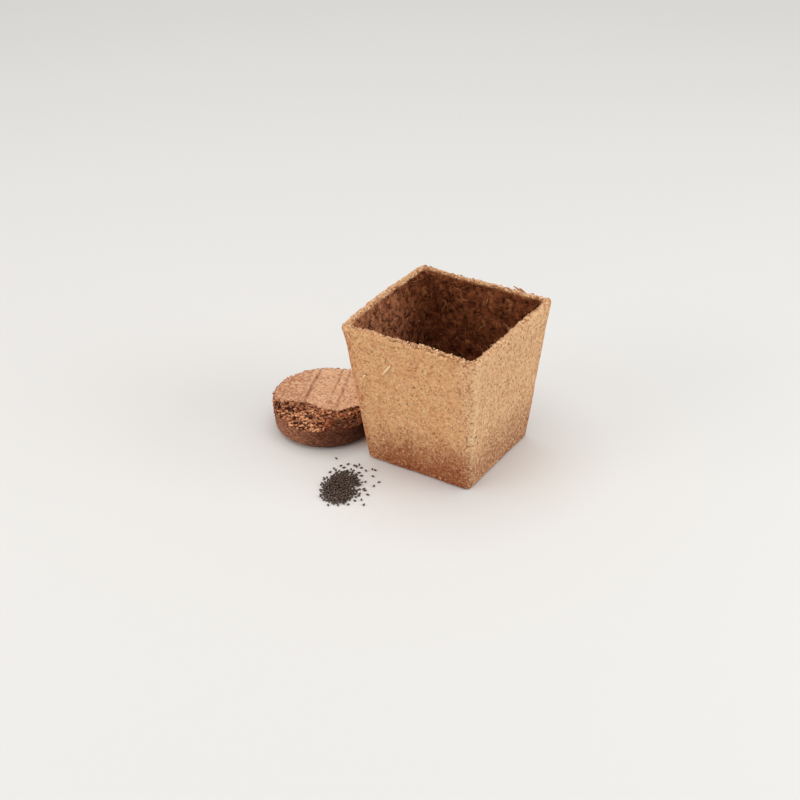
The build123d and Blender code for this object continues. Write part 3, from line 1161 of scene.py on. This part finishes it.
def make_crumbs(disc):
    """Crumbs that cling to the disc's broken front, its edge and its side, lying along its layers."""
    draw = random.Random(17)
    shape = bmesh.new()
    tones = []
    while len(tones) < CRUMB_COUNT * CHIP_CORNERS:
        angle = draw.uniform(0, 2 * math.pi)
        on_side = draw.random() < SIDE_CRUMB_SHARE
        spread = DISC_RADIUS * (1.0 if on_side else draw.uniform(0.05, 1.0) ** 0.5)
        place = Vector((spread * math.cos(angle), spread * math.sin(angle), 0.0))
        past, past_rim = ragged_past(place)
        if past < -0.5 * MM and (past_rim < 0.0 or draw.random() < 0.6):
            continue
        level = smooth_height(place, past, past_rim)
        size = (0.45 + 1.15 * draw.random() ** 2.0) * MM * (1.0 - 0.4 * recess(place, past))
        tone = draw.uniform(0.3, 1.0) if draw.random() < 0.7 else draw.uniform(0.0, 0.12)
        if on_side:
            hang = draw.random() ** 2.0
            level -= SIDE_CRUMB_DROP * hang
            size = between(draw, SIDE_CRUMB_SIZES)
            tone *= 0.7 - 0.5 * hang
        point, normal = seat(disc, Vector((place.x, place.y, level)) + DISC_PLACE)
        point = point + normal * 0.15 * size
        reach = Vector((point.x - DISC_PLACE.x, point.y - DISC_PLACE.y)).length
        too_wide = reach + 0.8 * size >= DISC_RADIUS + 3.0 * DISC_PROUD
        too_high = point.z + 0.5 * size >= DISC_HEIGHT + CRUMB_PROUD
        if not (too_wide or too_high):
            yaw = VIEWER_AZIMUTH + draw.gauss(0, 35)
            turn = turned((draw.gauss(0, 25), draw.gauss(0, 20), yaw))
            add_chip(shape, draw, point, size, CRUMB_FLATNESS, turn)
            cluster = 1.25 + 0.9 * lumps(place, 5 * MM)
            # Painted shade: crumbs below the break's upper ledge, on its right, are darkened.
            tones += [tone * cluster * (1.0 - 0.75 * painted_hollow_shade(place, past))] * CHIP_CORNERS
    mesh = mesh_from(shape, "disc_crumbs", False)
    mark(mesh, "tone", tones)
    return new_object("disc_crumbs", mesh)


# Seeds

def separate_grains(shape):
    """The separate grains of a bmesh, each as a list of vertices, in the order of their first vertices."""
    seen = set()
    grains = []
    for first in shape.verts:
        if first in seen:
            continue
        seen.add(first)
        grain = [first]
        for vert in grain:
            for edge in vert.link_edges:
                other = edge.other_vert(vert)
                if other not in seen:
                    seen.add(other)
                    grain.append(other)
        grains.append(grain)
    return grains


def make_seeds():
    """The seeds: the frame's grains, rounded and then drawn longer, the lowest set on the floor."""
    draw = random.Random(3)
    shape = merged_copy("seeds")
    bmesh.ops.dissolve_limit(shape, angle_limit=math.radians(2.0), verts=shape.verts, edges=shape.edges)
    blunt = new_object("blunt_seeds", mesh_from(shape, "blunt_seeds"))
    rounding = blunt.modifiers.new("rounding", "SUBSURF")
    rounding.levels = 1
    rounding.render_levels = 1
    shape = applied(blunt)
    for grain in separate_grains(shape):
        middle = sum((vert.co for vert in grain), Vector()) / len(grain)
        scale = draw.uniform(*SEED_SCALES)
        for vert in grain:
            vert.co = middle + (vert.co - middle) * scale
        lowest = min(vert.co.z for vert in grain)
        if lowest < SEED_ON_FLOOR:
            for vert in grain:
                vert.co.z -= lowest
    return new_object("seed_heap", mesh_from(shape, "seed_heap"))


# Stage

def make_floor():
    """The floor that the set stands on."""
    shape = bmesh.new()
    bmesh.ops.create_grid(shape, x_segments=1, y_segments=1, size=FLOOR_WIDTH / 2)
    floor = new_object("pale_floor", mesh_from(shape, "pale_floor"))
    floor.data.materials.append(floor_material())


def make_light():
    """An even white room with three softboxes, all turned to the set."""
    scene = bpy.context.scene
    scene.world = bpy.data.worlds.new("soft_room")
    scene.world.use_nodes = True
    sky = scene.world.node_tree.nodes["Background"]
    sky.inputs["Color"].default_value = (1.0, 1.0, 1.0, 1.0)
    sky.inputs["Strength"].default_value = WORLD_STRENGTH
    for name, place, width, power, colour in SOFTBOXES:
        lamp = bpy.data.lights.new(name, "AREA")
        lamp.size = width
        lamp.energy = power
        lamp.color = colour
        softbox = bpy.data.objects.new(name, lamp)
        softbox.location = place
        softbox.rotation_euler = (LOOK_AT - place).to_track_quat("-Z", "Y").to_euler()
        scene.collection.objects.link(softbox)
    scene.view_settings.view_transform = "Standard"


def make_camera():
    """The camera, from the azimuth, elevation and roll that fit the pot's corners."""
    azimuth = math.radians(LOOK_AZIMUTH)
    elevation = math.radians(LOOK_ELEVATION)
    flat = math.cos(elevation)
    back = Vector((math.sin(azimuth) * flat, -math.cos(azimuth) * flat, math.sin(elevation)))
    right = Vector((math.cos(azimuth), math.sin(azimuth), 0.0))
    level = Matrix((right, back.cross(right), back)).transposed()
    lens = bpy.data.cameras.new("camera")
    lens.sensor_width = SENSOR_MM
    lens.lens = LENS_PIXELS / IMAGE_PIXELS * SENSOR_MM
    lens.clip_start = 0.01
    camera = bpy.data.objects.new("camera", lens)
    turn = level @ Matrix.Rotation(math.radians(LOOK_ROLL), 3, "Z")
    camera.matrix_world = Matrix.Translation(LOOK_AT + back * LOOK_DISTANCE) @ turn.to_4x4()
    bpy.context.scene.collection.objects.link(camera)
    bpy.context.scene.camera = camera


def main():
    """Makes every piece and gives it its material and body, then the stage."""
    pot = make_pot()
    disc = make_soil_disc()
    bpy.context.view_layer.update()
    finish_piece(pot, "pot", "pressed_peat", (peat_material(), matted_peat_material()), "pot")
    finish_piece(make_bark_chips(pot), "pot", "pressed_peat", bark_material())
    finish_piece(make_splinters(), "pot", "pressed_peat", splinter_material())
    finish_piece(make_rim_flash(), "pot", "pressed_peat", fringe_material())
    finish_piece(make_rim_fringe(pot), "pot", "pressed_peat", fringe_material())
    finish_piece(make_straws(pot), "pot", "pressed_peat", straw_material())
    finish_piece(make_outer_fibres(pot), "pot", "pressed_peat", fibre_material())
    finish_piece(make_inner_fibres(pot), "pot", "pressed_peat", inner_fibre_material())
    finish_piece(disc, "soil_disc", "pressed_soil", soil_material(), "soil_disc")
    finish_piece(make_crumbs(disc), "soil_disc", "pressed_soil", crumb_material())
    finish_piece(make_seeds(), "pot", "seed_coat", seed_material(), "seeds")
    make_floor()
    make_light()
    make_camera()


main()
